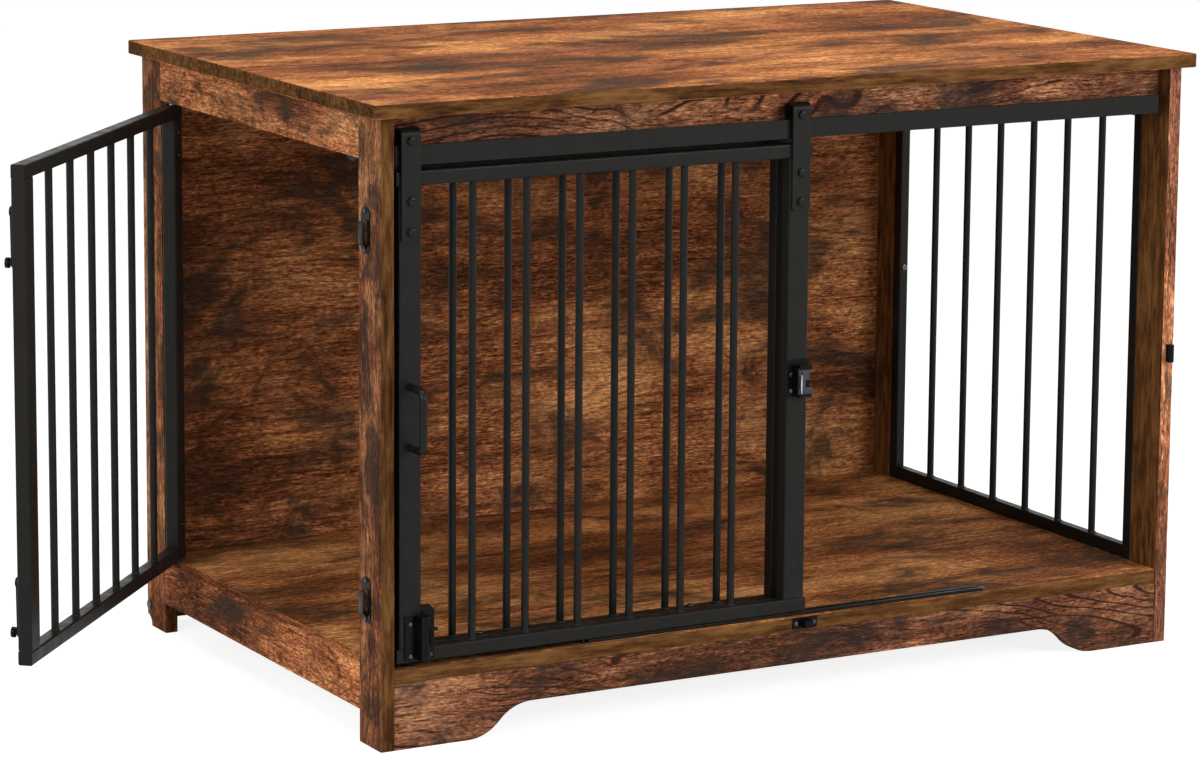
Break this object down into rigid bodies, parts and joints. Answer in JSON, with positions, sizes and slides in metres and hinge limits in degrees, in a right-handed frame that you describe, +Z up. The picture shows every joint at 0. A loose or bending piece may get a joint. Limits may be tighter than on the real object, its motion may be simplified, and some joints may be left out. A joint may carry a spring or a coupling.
{
  "type": "dog crate end table",
  "caption": "Low rectangular table whose body is a barred pet crate, with a hanging front door that slides on a rail and a hinged side door held by drop levers.",
  "frame": {"origin": "on the floor under the middle of the cabinet's rectangular base, so the feet stand on z = 0", "axes": "+X to the right along the front as the front door is faced, +Y from the front to the back, +Z up"},
  "size_m": [1.3092, 0.6364, 0.662],
  "materials": {
    "brown_board": "rustic brown laminate on particle board, satin",
    "black_metal": "matt black powder coat on steel",
    "black_nylon": "moulded nylon",
    "bright_pin": "zinc-plated steel",
    "dowel_wood": "plain beech dowel"
  },
  "bodies": {
    "cabinet": {"back_panel": "brown_board", "bolt_keeper": "black_metal", "bottom_panel": "brown_board", "door_stop": "black_metal", "fixed_grille_bars": "black_metal", "fixed_grille_rails": "black_metal", "fixed_grille_stiles": "black_metal", "frame_dowels": "dowel_wood", "front_apron": "brown_board", "front_skirt": "brown_board", "grille_screws": "black_metal", "guide_track": "black_metal", "hardware_screws": "black_metal", "hinge_bushes": "black_nylon", "latch_keeper": "black_metal", "lever_keepers": "black_metal", "panel_bolts": "black_metal", "post_back_left": "brown_board", "post_back_right": "brown_board", "post_front_left": "brown_board", "post_front_right": "brown_board", "rail_screws": "black_metal", "rail_standoffs": "black_metal", "right_grille_bars": "black_metal", "right_grille_rails": "black_metal", "right_grille_stiles": "black_metal", "side_rail_left_bottom": "brown_board", "side_rail_left_top": "brown_board", "side_rail_right_bottom": "brown_board", "side_rail_right_top": "brown_board", "slide_rail": "black_metal", "table_top": "brown_board"},
    "sliding_door": {"slide_door_stile_left": "black_metal", "slide_door_stile_right": "black_metal", "slide_door_rail_top": "black_metal", "slide_door_rail_bottom": "black_metal", "slide_door_bars": "black_metal", "hanger_strap_left": "black_metal", "hanger_strap_right": "black_metal", "roller_axles": "black_metal", "strap_bolts": "black_metal", "pull_handle": "black_metal", "bolt_body": "black_metal", "latch_base": "black_metal", "guide_block": "black_nylon", "slide_door_screws": "black_metal"},
    "left_roller": {"hanger_roller_left": "black_metal"},
    "right_roller": {"hanger_roller_right": "black_metal"},
    "bolt": {"bolt_pin": "black_metal"},
    "latch": {"latch_slide": "black_metal"},
    "swinging_door": {"swing_door_stile_hinge": "black_metal", "swing_door_stile_free": "black_metal", "swing_door_rail_top": "black_metal", "swing_door_rail_bottom": "black_metal", "swing_door_bars": "black_metal", "hinge_pins": "bright_pin", "lever_plates": "black_metal", "swing_door_screws": "black_metal"},
    "upper_lever": {"drop_lever_upper": "black_metal"},
    "lower_lever": {"drop_lever_lower": "black_metal"}
  },
  "joints": [
    {"name": "front_door_slide", "type": "slide", "parent": "cabinet", "child": "sliding_door", "axis": [1, 0, 0], "range_m": [0, 0.454]},
    {"name": "left_roller_spin", "type": "hinge", "parent": "sliding_door", "child": "left_roller", "pos_m": [-0.4525, -0.288, 0.6217], "axis": [0, 1, 0], "continuous": true},
    {"name": "right_roller_spin", "type": "hinge", "parent": "sliding_door", "child": "right_roller", "pos_m": [0.0025, -0.288, 0.6217], "axis": [0, 1, 0], "continuous": true},
    {"name": "bolt_throw", "type": "slide", "parent": "sliding_door", "child": "bolt", "axis": [0, 0, -1], "range_m": [0, 0.016]},
    {"name": "latch_throw", "type": "slide", "parent": "sliding_door", "child": "latch", "axis": [1, 0, 0], "range_m": [0, 0.011]},
    {"name": "left_door_hinge", "type": "hinge", "parent": "cabinet", "child": "swinging_door", "pos_m": [-0.481, 0.2325, 0.343], "axis": [0, 0, -1], "range_deg": [-42, 73]},
    {"name": "upper_lever_turn", "type": "hinge", "parent": "swinging_door", "child": "upper_lever", "pos_m": [-0.79883, -0.10704, 0.549], "axis": [-0.7431, 0.6691, 0], "range_deg": [0, 120]},
    {"name": "lower_lever_turn", "type": "hinge", "parent": "swinging_door", "child": "lower_lever", "pos_m": [-0.79883, -0.10704, 0.171], "axis": [-0.7431, 0.6691, 0], "range_deg": [0, 120]}
  ],
  "couplings": [
    {"joint": "left_roller_spin", "follows": "front_door_slide", "rad_per_m": 200},
    {"joint": "right_roller_spin", "follows": "front_door_slide", "rad_per_m": 200}
  ]
}
